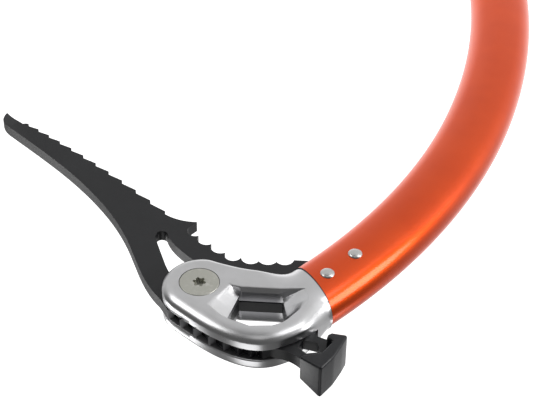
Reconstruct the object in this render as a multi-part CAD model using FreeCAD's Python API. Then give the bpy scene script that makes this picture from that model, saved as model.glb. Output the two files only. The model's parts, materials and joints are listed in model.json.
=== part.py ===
import FreeCAD, Part
import math
import os
from FreeCAD import Vector

# An ice axe for steep ice, in millimetres.
# X points the way the pick points, Z runs up from the spike to the head, and Y is across the blade.
# The origin is the middle of the hand grip, on the handle's own axis.

# ---- driving dimensions: plate, head and bolt
plate_t = 5.8            # pick, tail and toothed edge are one plate of this thickness
slot_t = 6.0             # the slot in the head that takes the plate
head_half = 10.8         # half of the head's thickness
head_round = 4.2         # rounding of the head's outer edges
eye_bevel = 5.0          # depth of the bevel at the eye's two ends
bolt_x, bolt_z = 63.2, 419.4
bolt_r = 4.0             # pick bolt shank
bolt_head_r = 9.2
bolt_head_t = 3.4
hammer_half = 8.8
pin_x, pin_z, pin_r = 3.6, 452.0, 1.2
tip_thinning = 8.0       # degrees on each side, over the last few millimetres of the pick
nose_r = 17.2            # the head's nose is round about the pick bolt
fit = 0.05               # radial clearance of a turning or sliding fit

# ---- driving dimensions: shaft
shaft_a = 16.4           # half of the shaft's depth
shaft_b = 11.5           # half of the shaft's thickness
shaft_end_r = 10.6       # radius of the oval's two ends
shaft_wall = 1.7
knee = (-46.5, 263.8)    # where the shaft's two arcs meet
knee_heading = -99.4     # degrees, going down the shaft
upper_r, lower_r = 344.0, 400.0
tube_top_heading = -124.8
tube_end_heading = -75.2
pivot_heading = -73.0
collar_headings = (-77.0, -75.15)
collar_t = 1.6
rivet_r = 1.6
rivet_head_r = 3.4
head_rivet_headings = (-124.2, -121.05)
head_rivet_offset = -1.4
lug_rivet_headings = (-79.6, -78.0)

# ---- driving dimensions: the joint between head and shaft
joint_x, joint_z = 11.8, 407.5
joint_angle = 41.7       # the joint's plane faces this way, up into the head
gasket_t = 0.6
tang_length = 46.0

# ---- driving dimensions: handle, in its own frame: u along the front, w up towards the head
lock_drop = 17.0         # the lock bolt, below the pivot
tilt_range = 12.0        # degrees between the handle's two settings
lug_t = 9.6
lug_r = 11.5
fork_gap = 10.6
fork_half = 11.4
fork_r = 12.5
fork_bottom = 61.0
pivot_r, pivot_head_r = 4.0, 7.0
lock_r, lock_head_r = 2.5, 4.6
core_half_u, core_half_y = 11.0, 9.0
core_bottom = -48.0
rubber_half_u, rubber_half_y = 16.5, 14.5
rubber_bottom, rubber_top = -45.8, 56.0
rail_half, rail_lip_half = 4.6, 2.7
rail_lip, rail_depth = 1.6, 4.6
trigger_w = 37.5         # middle of the trigger's foot at rest
trigger_travel = 6.0
rest_w = -34.5           # middle of the finger rest's foot
rest_travel = 6.0
foot_half_w, foot_half_y, foot_t = 7.0, 6.5, 3.2
rest_bay_top = -19.0     # the rail and the rubber's notch for the finger rest end here
trigger_bay_bottom = 28.5
pommel_bottom, pommel_top = -59.0, -46.0
pommel_screw_w = -53.5
spike_t = 4.0
spike_rivet_u, spike_rivet_w = -2.5, (-34.5, -41.5)
leash_r = 5.0
leash_w = -66.5


def at(x, z, y=0.0):
    return Vector(x, y, z)


def heading(degrees):
    return Vector(math.cos(math.radians(degrees)), 0, math.sin(math.radians(degrees)))


class Outline:
    """A closed outline in the XZ plane, drawn from point to point."""

    def __init__(self, x, z):
        self.first = at(x, z)
        self.here = at(x, z)
        self.edges = []

    def line(self, x, z):
        self.edges.append(Part.LineSegment(self.here, at(x, z)).toShape())
        self.here = at(x, z)
        return self

    def arc(self, mid_x, mid_z, x, z):
        self.edges.append(Part.Arc(self.here, at(mid_x, mid_z), at(x, z)).toShape())
        self.here = at(x, z)
        return self

    def curve(self, *points):
        spline = Part.BSplineCurve()
        spline.interpolate([self.here] + [at(x, z) for x, z in points])
        self.edges.append(spline.toShape())
        self.here = at(*points[-1])
        return self

    def wire(self):
        if self.here.distanceToPoint(self.first) > 1e-6:
            self.line(self.first.x, self.first.z)
        return Part.Wire(self.edges)

    def plate(self, half, low=None):
        """The outline as a plate from y = low (or -half) to y = half."""
        low = -half if low is None else low
        face = Part.Face(self.wire())
        face.translate(Vector(0, low, 0))
        return face.extrude(Vector(0, half - low, 0))


def polygon(points, half, low=None):
    shape = Outline(*points[0])
    for x, z in points[1:]:
        shape.line(x, z)
    return shape.plate(half, low)


def rod(radius, x, z, low, high):
    """A round bar along Y."""
    return Part.makeCylinder(radius, high - low, Vector(x, low, z), Vector(0, 1, 0))


def box(x0, x1, y0, y1, z0, z1):
    return Part.makeBox(x1 - x0, y1 - y0, z1 - z0, Vector(x0, y0, z0))


def in_handle(shape):
    """Turns a shape from the handle's own frame into the axe's frame."""
    shape.rotate(Vector(0, 0, 0), Vector(0, 1, 0), -handle_tilt)
    return shape


def save(name, shape):
    solids = shape.Solids
    whole = solids[0] if len(solids) == 1 else Part.makeCompound(solids)
    whole.exportStep("parts/" + name + ".step")
    print("%-16s solids %d  volume %9.1f  valid %s" % (name, len(solids), whole.Volume, whole.isValid()))


# ---- the shaft's centreline

def centre_of(radius):
    left = heading(knee_heading + 90)
    return at(*knee) + left * radius


def shaft_point(degrees):
    """The centreline's point where it heads in this direction."""
    radius = upper_r if degrees < knee_heading else lower_r
    return centre_of(radius) - heading(degrees + 90) * radius


def shaft_path(top, bottom):
    def stretch(a, b):
        middle = shaft_point((a + b) / 2)
        return Part.Arc(shaft_point(a), middle, shaft_point(b)).toShape()
    if top < knee_heading < bottom:
        return Part.Wire([stretch(top, knee_heading), stretch(knee_heading, bottom)])
    return Part.Wire([stretch(top, bottom)])


def oval(a, b, end_r, where, degrees):
    """A four-arc oval square to the heading: a is its half depth, b its half thickness."""
    side_r = ((a - end_r) ** 2 + b ** 2 - end_r ** 2) / (2 * (b - end_r))
    across = heading(degrees + 90)
    turn = math.atan2(side_r - b, a - end_r)

    def spot(u, y):
        return where + across * u + Vector(0, y, 0)

    cu = a - end_r + end_r * math.cos(turn)
    cy = end_r * math.sin(turn)
    return Part.Wire([
        Part.Arc(spot(cu, -cy), spot(a, 0), spot(cu, cy)).toShape(),
        Part.Arc(spot(cu, cy), spot(0, b), spot(-cu, cy)).toShape(),
        Part.Arc(spot(-cu, cy), spot(-a, 0), spot(-cu, -cy)).toShape(),
        Part.Arc(spot(-cu, -cy), spot(0, -b), spot(cu, -cy)).toShape(),
    ])


def oval_bar(top, bottom, inset=0.0):
    """A solid bar with the shaft's oval, smaller all round by inset."""
    section = oval(shaft_a - inset, shaft_b - inset, shaft_end_r - inset, shaft_point(top), top)
    return shaft_path(top, bottom).makePipeShell([section], True, False)


handle_top = shaft_point(pivot_heading)
handle_tilt = math.degrees(math.atan2(-handle_top.x, handle_top.z))
pivot_w = handle_top.Length
joint_out = heading(joint_angle)
joint_at = at(joint_x, joint_z)


def beyond_joint(offset, size=120.0):
    """Everything on the head's side of the joint's plane, moved along it by offset."""
    block = Part.makeBox(size, size, size, Vector(0, -size / 2, -size / 2))
    block.rotate(Vector(0, 0, 0), Vector(0, 1, 0), -joint_angle)
    block.translate(joint_at + joint_out * offset)
    return block


# ---- head

def head_outline():
    shape = Outline(24.6, 396.2)
    shape.curve((27.5, 400.6), (33.0, 403.5), (44.0, 404.9), (56.0, 403.6), (62.0, 402.2))
    shape.arc(bolt_x + nose_r, bolt_z, 72.3, 434.0)
    shape.curve((64.0, 439.4), (55.0, 444.2), (45.0, 448.0), (36.0, 449.8), (28.0, 449.6), (21.0, 446.6))
    shape.line(1.9, 421.5)
    return shape


def eye_outline():
    """The eye: a flat bottom, two slanted ends and a bowed top."""
    shape = Outline(25.0, 417.4)
    shape.line(44.6, 420.2)
    shape.line(47.0, 436.0)
    shape.arc(35.0, 441.8, 22.6, 436.2)
    shape.line(20.6, 428.0)
    return shape


def eye_funnel(side):
    """Bevels the eye's two slanted ends, and its bottom a little, on one face of the head."""
    inner = [(25.3, 417.7), (44.3, 420.4), (46.6, 435.0), (22.8, 435.4), (20.9, 428.0)]
    outer = [(15.6, 414.6), (48.6, 419.0), (56.4, 432.4), (20.0, 435.0), (14.0, 421.5)]
    wires = []
    for points, y in ((inner, head_half - eye_bevel), (outer, head_half + 0.3)):
        corners = [at(x, z, side * y) for x, z in points]
        wires.append(Part.makePolygon(corners + corners[:1]))
    return Part.makeLoft(wires, True, True)


def round_edges(solid, radius, keep):
    """Fillets the edges that keep() picks, a smaller radius being tried where the first fails."""
    edges = [edge for edge in solid.Edges if keep(edge)]
    for share in (1.0, 0.7, 0.4):
        try:
            rounded = solid.makeFillet(radius * share, edges)
            if rounded.isValid() and rounded.Volume > 0.5 * solid.Volume:
                return rounded
        except Part.OCCError:
            pass
    print("no fillet on", len(edges), "edges")
    return solid


def on_face(y):
    """Picks edges that lie wholly at y or at -y."""
    def keep(edge):
        box_ = edge.BoundBox
        return box_.YLength < 1e-4 and abs(abs(box_.YMin) - y) < 1e-4
    return keep


def slot_void(half, grow=0.0):
    """The room that the plate takes between the head's cheeks."""
    points = [(6.2 - grow, 429.2), (27.6 - grow, 398.2), (20.0 - grow, 380.0), (120.0, 380.0),
              (120.0, 470.0), (0.0, 470.0)]
    return polygon(points, half)


def tang(inset):
    """The head's stub inside the tube."""
    bar_bottom = tube_top_heading + math.degrees(tang_length / upper_r)
    return oval_bar(tube_top_heading - 2.5, bar_bottom, inset)


def make_head():
    body = round_edges(head_outline().plate(head_half), head_round, on_face(head_half))
    neck = oval_bar(tube_top_heading - 2.9, tube_top_heading + 0.5)
    body = body.fuse(neck).common(beyond_joint(gasket_t))
    body = body.fuse(tang(shaft_wall + fit))
    body = body.cut(slot_void(slot_t / 2))
    eye = eye_outline().plate(head_half + 2)
    body = body.cut(eye)
    for side in (-1, 1):
        body = body.cut(eye_funnel(side))
    body = body.cut(rod(bolt_r + fit, bolt_x, bolt_z, -20, 20))
    body = body.cut(rod(bolt_head_r + 0.15, bolt_x, bolt_z, -head_half - 1, -head_half + bolt_head_t))
    body = body.cut(rod(bolt_head_r + 0.15, bolt_x, bolt_z, head_half - bolt_head_t, head_half + 1))
    for x, z in head_rivet_places():
        body = body.cut(rod(rivet_r, x, z, -20, 20))
    save("head", body)


# ---- pick

def sawtooth(shape, first, last, bulge, count, pitch_ratio, depth, lean):
    """Teeth whose tips lie on a bowed line; the pitch shrinks towards the last tooth."""
    start, end = at(*first), at(*last)
    along = (end - start).normalize()
    inward = Vector(-along.z, 0, along.x)
    weights = [1 + (pitch_ratio - 1) * i / (count - 2) for i in range(count - 1)]
    travelled = 0.0
    for i in range(count):
        part = travelled / sum(weights)
        size = 1 + (pitch_ratio - 1) * part
        tip = start + (end - start) * part - inward * (4 * bulge * part * (1 - part))
        gullet = tip - along * lean + inward * (depth * size)
        shape.line(gullet.x, gullet.z)
        shape.line(tip.x, tip.z)
        if i < count - 1:
            travelled += weights[i]
    return shape


def pick_outline():
    shape = Outline(17.9, 385.9)
    shape.line(25.4, 387.0)
    # scalloped grip of the inner branch: one arc from cusp to cusp
    shape.arc(29.2, 391.3, 33.2, 389.9)
    shape.arc(37.1, 392.9, 41.4, 391.2)
    shape.arc(45.5, 394.1, 50.0, 390.4)
    shape.arc(54.2, 393.7, 58.1, 388.8)
    shape.arc(63.0, 389.5, 65.8, 384.2)
    shape.arc(70.6, 385.1, 73.1, 379.8)
    # hook tooth
    shape.arc(78.3, 379.2, 79.1, 375.0)
    shape.line(76.2, 370.2)
    shape.arc(84.0, 370.5, 92.6, 367.9)
    sawtooth(shape, (93.1, 365.8), (179.2, 313.5), 2.0, 12, 0.64, 1.9, 1.7)
    shape.line(180.6, 313.5)
    shape.line(182.0, 314.1)
    shape.arc(188.0, 310.2, 193.8, 304.8)
    shape.arc(193.5, 312.0, 189.6, 317.2)
    shape.curve((170.0, 330.3), (150.0, 344.5), (130.0, 361.3), (115.0, 377.2), (105.0, 391.0),
                (97.0, 404.5), (90.0, 415.4), (80.5, 425.8))
    # toothed edge between the cheeks
    crests = [(74.3, 433.2), (67.5, 438.8), (60.4, 443.0), (52.7, 445.8), (45.4, 447.2),
              (38.8, 448.4), (33.0, 448.9), (27.8, 448.4)]
    for x, z in crests:
        shape.line(x + 2.0, z - 2.6)
        shape.line(x, z)
    shape.line(24.8, 446.5)
    shape.arc(17.4, 446.7, 10.6, 450.0)
    # tongue in the hammer
    shape.line(3.4, 455.6)
    shape.line(-3.6, 441.0)
    shape.line(-1.6, 436.2)
    shape.line(5.8, 434.4)
    shape.line(7.0, 430.0)
    shape.line(27.9, 398.6)
    shape.curve((24.8, 395.6), (21.6, 392.0), (17.9, 385.9))
    return shape


def opening_outline():
    """The opening between the pick's two branches, closed at the top by the head's nose."""
    shape = Outline(88.2, 381.2)
    shape.arc(90.6, 380.2, 92.9, 381.6)
    shape.line(93.2, 385.0)
    shape.curve((90.0, 391.0), (86.0, 398.4), (81.8, 405.8), (77.6, 411.0))
    shape.arc(73.4, 405.5, 66.0, 401.0)
    shape.curve((75.4, 394.4), (81.2, 389.9), (85.6, 385.3), (88.2, 381.2))
    return shape


def tip_wedge(side):
    """What is ground off one side of the pick's point."""
    low, high = sorted((0.0, side * 10.0))
    wedge = box(0, 60, low, high, -45, 45)
    wedge.rotate(Vector(0, 0, 0), Vector(0, 0, 1), -side * tip_thinning)
    wedge.translate(Vector(0, side * plate_t / 2, 0))
    wedge.rotate(Vector(0, 0, 0), Vector(0, 1, 0), 35.0)
    wedge.translate(at(187.0, 316.0))
    return wedge


def make_pick():
    plate = pick_outline().plate(plate_t / 2)
    plate = plate.cut(opening_outline().plate(plate_t))
    plate = plate.cut(eye_outline().plate(plate_t))
    lightening = Outline(2.6, 443.8).line(4.8, 438.6).line(11.4, 437.9).line(12.6, 443.2)
    lightening.line(8.6, 446.0)
    plate = plate.cut(lightening.plate(plate_t))
    plate = plate.cut(rod(bolt_r + fit, bolt_x, bolt_z, -10, 10)).cut(rod(pin_r, pin_x, pin_z, -10, 10))
    tube_room = oval_bar(tube_top_heading - 2.9, tube_top_heading + 6.0, -0.15)
    plate = plate.cut(tube_room.cut(beyond_joint(gasket_t)))
    for side in (-1, 1):
        plate = plate.cut(tip_wedge(side))
    save("pick", plate)


# ---- hammer

def make_hammer():
    shape = Outline(-0.6, 460.9)
    shape.line(10.3, 452.6)
    shape.line(9.4, 450.9)
    shape.line(1.0, 449.4)
    shape.line(-2.6, 441.4)
    shape.line(0.6, 441.0)
    shape.line(0.5, 438.4)
    shape.line(-1.0, 436.9)
    shape.line(-8.4, 436.9)
    shape.arc(-5.6, 449.3, -0.6, 460.9)
    block = shape.plate(hammer_half)
    tongue = Outline(12.0, 449.2)
    tongue.line(3.45, 456.1).line(-3.9, 441.0).line(-1.8, 435.9).line(4.0, 430.0)
    block = block.cut(tongue.plate(slot_t / 2))
    block = block.cut(rod(pin_r, pin_x, pin_z, -6.5, 20))
    save("hammer", block)
    save("hammer_pin", rod(pin_r, pin_x, pin_z, -6.5, hammer_half - 0.2))


# ---- pick bolt and its nut

def socket(radius, depth, x, z, face, side):
    """A six-lobed driver socket that opens at y = face."""
    low, high = sorted((face - side * depth, face + side * 0.1))
    cut = rod(radius * 0.74, x, z, low, high)
    for i in range(6):
        turn = math.radians(60 * i)
        lobe_x = x + radius * 0.74 * math.cos(turn)
        lobe_z = z + radius * 0.74 * math.sin(turn)
        cut = cut.fuse(rod(radius * 0.26, lobe_x, lobe_z, low, high))
    return cut


def make_pick_bolt():
    face = -head_half - 0.1
    bolt = rod(bolt_head_r, bolt_x, bolt_z, face, -head_half + bolt_head_t)
    bolt = round_edges(bolt, 0.5, on_face(-face))
    bolt = bolt.fuse(rod(bolt_r, bolt_x, bolt_z, -head_half + bolt_head_t, 3.6))
    bolt = bolt.fuse(rod(2.5, bolt_x, bolt_z, 3.6, head_half - 1.4))
    bolt = bolt.cut(socket(3.1, 2.6, bolt_x, bolt_z, face, -1))
    save("pick_bolt", bolt)
    nut = rod(bolt_head_r, bolt_x, bolt_z, head_half - bolt_head_t, head_half + 0.1)
    nut = round_edges(nut, 0.5, on_face(head_half + 0.1))
    nut = nut.fuse(rod(bolt_r, bolt_x, bolt_z, 3.8, head_half - bolt_head_t))
    nut = nut.cut(rod(2.5, bolt_x, bolt_z, 3.0, head_half - 1.4))
    nut = nut.cut(socket(3.1, 1.2, bolt_x, bolt_z, head_half + 0.1, 1))
    save("pick_nut", nut)


# ---- shaft, gasket and rivets

def rivet_places(headings, offset):
    places = []
    for degrees in headings:
        spot = shaft_point(degrees) + heading(degrees + 90) * offset
        places.append((spot.x, spot.z))
    return places


def head_rivet_places():
    return rivet_places(head_rivet_headings, head_rivet_offset)


def lug_rivet_places():
    return rivet_places(lug_rivet_headings, 0.0)


def dome_rivets(places, face, head_t=1.3):
    """Rivets right through the shaft with a low dome at each end."""
    rivets = []
    ball_r = (rivet_head_r ** 2 + head_t ** 2) / (2 * head_t)
    for x, z in places:
        rivet = rod(rivet_r, x, z, -face, face)
        for side in (-1, 1):
            ball = Part.makeSphere(ball_r, Vector(x, side * (face + head_t - ball_r), z))
            low, high = sorted((side * face, side * (face + head_t + 1)))
            rivet = rivet.fuse(ball.common(rod(rivet_head_r, x, z, low, high)))
        rivets.append(rivet)
    return rivets


def make_shaft():
    outer = oval_bar(tube_top_heading - 2.9, tube_end_heading)
    inner = oval_bar(tube_top_heading - 3.1, tube_end_heading + 0.2, shaft_wall)
    tube = outer.cut(inner).cut(beyond_joint(0))
    for x, z in head_rivet_places() + lug_rivet_places():
        tube = tube.cut(rod(rivet_r, x, z, -20, 20))
        for low in (-shaft_b - 4.75, shaft_b - 0.25):
            tube = tube.cut(rod(rivet_head_r, x, z, low, low + 5))
    save("shaft_tube", tube)
    ring = outer.cut(tang(shaft_wall + fit)).common(beyond_joint(0)).cut(beyond_joint(gasket_t))
    save("head_gasket", ring)
    save("head_rivets", Part.makeCompound(dome_rivets(head_rivet_places(), shaft_b - 0.25)))
    save("lug_rivets", Part.makeCompound(dome_rivets(lug_rivet_places(), shaft_b - 0.25)))
    top, bottom = collar_headings
    collar = oval_bar(top, bottom, -collar_t).cut(oval_bar(top - 0.2, bottom + 0.2))
    save("tube_collar", collar)


# ---- the lug at the shaft's lower end, which the handle turns on

def from_handle(u, w):
    turn = math.radians(handle_tilt)
    return at(u * math.cos(turn) - w * math.sin(turn), u * math.sin(turn) + w * math.cos(turn))


def make_lug():
    lug = oval_bar(-81.2, tube_end_heading + 0.2, shaft_wall + fit).fuse(lug_tongue())
    lock = from_handle(0, pivot_w - lock_drop)
    for x, z in lug_rivet_places():
        lug = lug.cut(rod(rivet_r, x, z, -20, 20))
    lug = lug.cut(rod(pivot_r + fit, handle_top.x, handle_top.z, -20, 20))
    lug = lug.cut(rod(lock_r, lock.x, lock.z, -20, 20))
    save("shaft_lug", lug)
    washers = []
    for low in (lug_t / 2, -fork_gap / 2):
        high = low + (fork_gap - lug_t) / 2
        disc = rod(10.0, handle_top.x, handle_top.z, low + fit, high - fit)
        washers.append(disc.cut(rod(pivot_r + fit, handle_top.x, handle_top.z, -20, 20)))
    save("pivot_washers", Part.makeCompound(washers))
    bolt = rod(lock_r, lock.x, lock.z, -fork_half - 0.1, fork_half + 0.1)
    head = round_edges(rod(lock_head_r, lock.x, lock.z, -fork_half - 3.1, -fork_half - 0.1), 0.5,
                       on_face(fork_half + 3.1))
    bolt = bolt.fuse(head).fuse(rod(1.7, lock.x, lock.z, fork_half + 0.1, fork_half + 2.6))
    bolt = bolt.cut(hexagon(2.0, lock, -fork_half - 3.2, -fork_half - 0.8))
    save("lock_bolt", bolt)
    nut = hexagon(4.6, lock, fork_half + 0.1, fork_half + 3.1).cut(rod(1.7, lock.x, lock.z, 0, 20))
    save("lock_nut", nut)


def hexagon(across_corners, where, low, high):
    """A six-sided bar along Y."""
    shape = None
    for i in range(6):
        turn = math.radians(60 * i + 30)
        x = where.x + across_corners * math.cos(turn)
        z = where.z + across_corners * math.sin(turn)
        if shape is None:
            shape = Outline(x, z)
        else:
            shape.line(x, z)
    return shape.plate(high, low)


def lug_tongue():
    """A flat tongue from the tube's end, round the pivot and down to the lock bolt."""
    shape = Outline(-lug_r, pivot_w + 17.0)
    shape.line(-lug_r, pivot_w)
    shape.line(-8.0, pivot_w - lock_drop)
    shape.arc(0.0, pivot_w - lock_drop - 7.8, 8.0, pivot_w - lock_drop)
    shape.line(lug_r, pivot_w)
    shape.line(lug_r, pivot_w + 17.0)
    return in_handle(shape.plate(lug_t / 2))


# ---- handle: all of it is drawn in its own frame and turned last

def lock_slot():
    """The curved slot that the lock bolt passes as the handle tilts."""
    wide = lock_r + 0.1
    ring = rod(lock_drop + wide, 0, pivot_w, -20, 20).cut(rod(lock_drop - wide, 0, pivot_w, -21, 21))
    turn = math.radians(tilt_range)
    reach = 2 * lock_drop
    wedge = polygon([(0, pivot_w), (-reach * math.tan(turn), pivot_w - reach), (0, pivot_w - reach)], 20)
    slot = ring.common(wedge)
    for angle in (0.0, turn):
        u, w = -lock_drop * math.sin(angle), pivot_w - lock_drop * math.cos(angle)
        slot = slot.fuse(rod(wide, u, w, -20, 20))
    return slot


def rail(low, high):
    """A T-slot along the front of the handle's core."""
    mouth = box(core_half_u - rail_lip - 1, core_half_u + 1, -rail_lip_half, rail_lip_half, low, high)
    return mouth.fuse(box(core_half_u - rail_depth, core_half_u - rail_lip, -rail_half, rail_half, low, high))


def make_core():
    core = box(-core_half_u, core_half_u, -core_half_y, core_half_y, core_bottom, fork_bottom)
    core = round_edges(core, 3.0, lambda edge: edge.BoundBox.ZLength > 50)
    fork = Outline(-fork_r, fork_bottom - 6)
    fork.line(-fork_r, pivot_w).arc(0, pivot_w + fork_r, fork_r, pivot_w).line(fork_r, fork_bottom - 6)
    fork.arc(0, fork_bottom - 16, -fork_r, fork_bottom - 6)
    fork = fork.plate(fork_half)
    core = core.fuse(fork)
    core = core.cut(box(-20, 20, -fork_gap / 2, fork_gap / 2, fork_bottom, pivot_w + 20))
    core = core.cut(lock_slot())
    core = core.cut(rod(pivot_r, 0, pivot_w, -20, 20))
    for side in (-1, 1):
        low, high = sorted((side * (fork_half - 2.2), side * 20))
        core = core.cut(rod(pivot_head_r + 0.1, 0, pivot_w, low, high))
    core = core.cut(rail(trigger_bay_bottom, fork_bottom)).cut(rail(core_bottom, rest_bay_top))
    core = core.cut(box(-9.0, 4.0, -spike_t / 2, spike_t / 2, core_bottom, -30.0))
    for w in spike_rivet_w:
        core = core.cut(rod(rivet_r, spike_rivet_u, w, -20, 20))
    save("handle_core", in_handle(core))


def upright_oval(a, b, end_r, low, high):
    """An oval bar along the handle."""
    ring = oval(a, b, end_r, at(0, low), 90.0)
    return Part.Face(ring).extrude(Vector(0, 0, high - low))


def foot_room(low, high):
    return box(core_half_u - 0.5, 30, -foot_half_y - 0.7, foot_half_y + 0.7, low, high)


def make_rubber():
    sleeve = upright_oval(rubber_half_u, rubber_half_y, 13.0, rubber_bottom, rubber_top)
    hollow = box(-core_half_u, core_half_u, -core_half_y, core_half_y, -60, 60)
    hollow = round_edges(hollow, 3.0, lambda edge: edge.BoundBox.ZLength > 50)
    sleeve = sleeve.cut(hollow)
    sleeve = sleeve.cut(box(-20, 20, -fork_half - 0.05, fork_half + 0.05, fork_bottom - 16, 60))
    sleeve = sleeve.cut(foot_room(trigger_bay_bottom, 60)).cut(foot_room(-60, rest_bay_top))
    save("handle_rubber", in_handle(sleeve))


def make_pivot_bolt():
    face = fork_half - 0.1
    bolt = rod(pivot_head_r, 0, pivot_w, -face, -fork_half + 2.2)
    bolt = bolt.fuse(rod(pivot_r, 0, pivot_w, -fork_half + 2.2, 3.0))
    bolt = bolt.fuse(rod(2.5, 0, pivot_w, 3.0, face - 1.0))
    bolt = bolt.cut(hexagon(2.8, at(0, pivot_w), -face - 1, -face + 3.0))
    nut = rod(pivot_head_r, 0, pivot_w, fork_half - 2.2, face)
    nut = nut.fuse(rod(pivot_r, 0, pivot_w, 3.2, fork_half - 2.2))
    nut = nut.cut(rod(2.5, 0, pivot_w, 3.0, face - 1.0))
    save("pivot_bolt", in_handle(bolt))
    save("pivot_nut", in_handle(nut))


def foot(middle):
    """The pad by which a finger rest slides on the core, with its screw hole."""
    front = core_half_u + 0.1
    return box(front, front + foot_t, -foot_half_y, foot_half_y, middle - foot_half_w, middle + foot_half_w)


def beside_foot():
    """The rubber's room on both sides of a foot, where a finger rest has to stay narrow."""
    clear = rubber_half_u + 0.7
    left = box(0, clear, -30, -foot_half_y, -90, 90)
    return left.fuse(box(0, clear, foot_half_y, 30, -90, 90))


def clamp_pieces(name, middle):
    """A T-nut in the rail and the screw that draws it against the rail's lips."""
    inner = core_half_u - rail_lip - 0.1
    nut = box(inner - 2.6, inner, -rail_half + 0.25, rail_half - 0.25, middle - 5, middle + 5)
    bore = Part.makeCylinder(1.6, 20, Vector(0, 0, middle), Vector(1, 0, 0))
    head_at = core_half_u + 0.1 + foot_t
    screw = Part.makeCylinder(1.6, head_at - inner + 2.4, Vector(inner - 2.4, 0, middle), Vector(1, 0, 0))
    head = Part.makeCylinder(3.0, 1.8, Vector(head_at - 1.6, 0, middle), Vector(1, 0, 0))
    key = Part.makeCylinder(1.3, 2, Vector(head_at - 1.0, 0, middle), Vector(1, 0, 0))
    save(name + "_nut", in_handle(nut.cut(bore)))
    save(name + "_screw", in_handle(screw.fuse(head).cut(key)))


def screw_room(middle):
    hole = Part.makeCylinder(1.6, 20, Vector(core_half_u, 0, middle), Vector(1, 0, 0))
    sink_from = core_half_u + 0.1 + foot_t - 1.6
    return hole.fuse(Part.makeCylinder(3.05, 20, Vector(sink_from, 0, middle), Vector(1, 0, 0)))


def make_trigger():
    front = core_half_u + 0.1
    w = trigger_w
    prong = Outline(front, w - foot_half_w)
    prong.line(front + foot_t, w - foot_half_w)
    prong.arc(24.0, w - 10.0, 38.0, w - 2.5)
    prong.arc(40.0, w + 1.0, 36.6, w + 2.2)
    prong.arc(25.5, w - 5.2, front + foot_t + 0.6, w - 3.6)
    prong.line(front, w - 3.6)
    body = foot(w).fuse(prong.plate(foot_half_y + 1.5)).cut(beside_foot()).cut(screw_room(w + 1.2))
    save("trigger", in_handle(body))
    clamp_pieces("trigger", w + 1.2)


def make_finger_rest():
    front = core_half_u + 0.1
    w = rest_w
    horn = Outline(front, w - foot_half_w)
    horn.arc(30.0, w - 11.0, 46.0, w - 1.5)
    horn.arc(48.0, w + 2.6, 44.0, w + 3.0)
    horn.arc(31.0, w - 4.6, front + foot_t, w - 3.0)
    horn.line(front, w - 3.0)
    body = foot(w).fuse(horn.plate(12.5)).cut(beside_foot()).cut(screw_room(w + 2.0))
    save("finger_rest", in_handle(body))
    clamp_pieces("finger_rest", w + 2.0)


def make_pommel():
    pommel = upright_oval(18.5, 14.0, 12.5, pommel_bottom, pommel_top)
    pommel = pommel.cut(box(-core_half_u, core_half_u, -core_half_y, core_half_y, core_bottom, 0))
    pommel = pommel.cut(box(-10.0, 10.0, -spike_t / 2, spike_t / 2, -80, core_bottom + 1))
    screw = rod(2.0, 0, pommel_screw_w, -12.0, 9.0)
    screw = screw.fuse(rod(3.6, 0, pommel_screw_w, -13.2, -11.0))
    pommel = pommel.cut(rod(2.0, 0, pommel_screw_w, -20, 20))
    pommel = pommel.cut(rod(3.7, 0, pommel_screw_w, -20, -11.0)).cut(rod(3.7, 0, pommel_screw_w, 9.0, 20))
    save("pommel", in_handle(pommel))
    screw = screw.cut(hexagon(1.8, at(0, pommel_screw_w), -14, -11.8))
    screw = screw.fuse(rod(1.5, 0, pommel_screw_w, 9.0, 12.0))
    save("pommel_screw", in_handle(screw))
    nut = rod(3.6, 0, pommel_screw_w, 9.0, 12.6).cut(rod(1.5, 0, pommel_screw_w, 8, 12.0))
    save("pommel_nut", in_handle(nut))


def make_spike():
    shape = Outline(-9.0, -30.0)
    shape.line(-9.0, core_bottom).line(-10.0, core_bottom).line(-10.0, -62.0)
    shape.arc(-9.6, -69.0, -5.0, -74.0).line(1.5, -79.0).arc(3.0, -79.6, 3.6, -78.0)
    shape.line(6.0, -72.5).arc(9.6, -67.5, 10.0, -62.0)
    shape.line(10.0, core_bottom).line(4.0, core_bottom).line(4.0, -30.0)
    plate = shape.plate(spike_t / 2)
    plate = plate.cut(rod(leash_r, 0, leash_w, -10, 10)).cut(rod(2.0, 0, pommel_screw_w, -10, 10))
    for w in spike_rivet_w:
        plate = plate.cut(rod(rivet_r, spike_rivet_u, w, -10, 10))
    save("spike", in_handle(plate))
    rivets = [rod(rivet_r, spike_rivet_u, w, -core_half_y, core_half_y) for w in spike_rivet_w]
    save("spike_rivets", in_handle(Part.makeCompound(rivets)))


def main():
    os.makedirs("parts", exist_ok=True)
    make_head()
    make_pick()
    make_hammer()
    make_pick_bolt()
    make_shaft()
    make_lug()
    make_core()
    make_rubber()
    make_pivot_bolt()
    make_trigger()
    make_finger_rest()
    make_pommel()
    make_spike()


main()
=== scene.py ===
import json
import math

import bmesh
import bpy
import numpy as np
from mathutils import Matrix, Vector


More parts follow.
